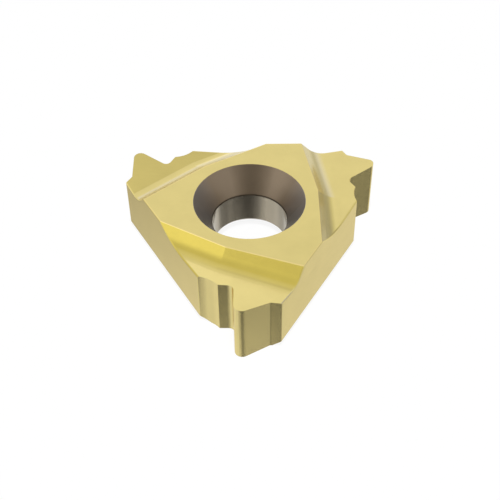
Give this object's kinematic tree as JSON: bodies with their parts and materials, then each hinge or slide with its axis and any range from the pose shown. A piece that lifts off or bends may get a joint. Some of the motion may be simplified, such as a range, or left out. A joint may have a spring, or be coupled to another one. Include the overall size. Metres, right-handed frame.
{
  "type": "threading insert",
  "caption": "Triangular lay-down threading insert: a 60 degree thread tooth, rake face and chip groove at each corner, and a countersunk hole for the clamping screw.",
  "frame": {"origin": "on the axis of the screw hole, at the flat underside that seats in the toolholder", "axes": "+Z along the hole towards the countersink and the rake faces; +X along the infeed of one tooth, parallel to the side wall behind it, which faces +Y; the other two teeth follow every 120 degrees about Z"},
  "size_m": [0.0135, 0.0124, 0.0036],
  "materials": {
    "coated_carbide": "satin pale gold titanium nitride coating on fine-ground cemented carbide"
  },
  "bodies": {
    "root": {"threading_insert": "coated_carbide"}
  },
  "joints": []
}
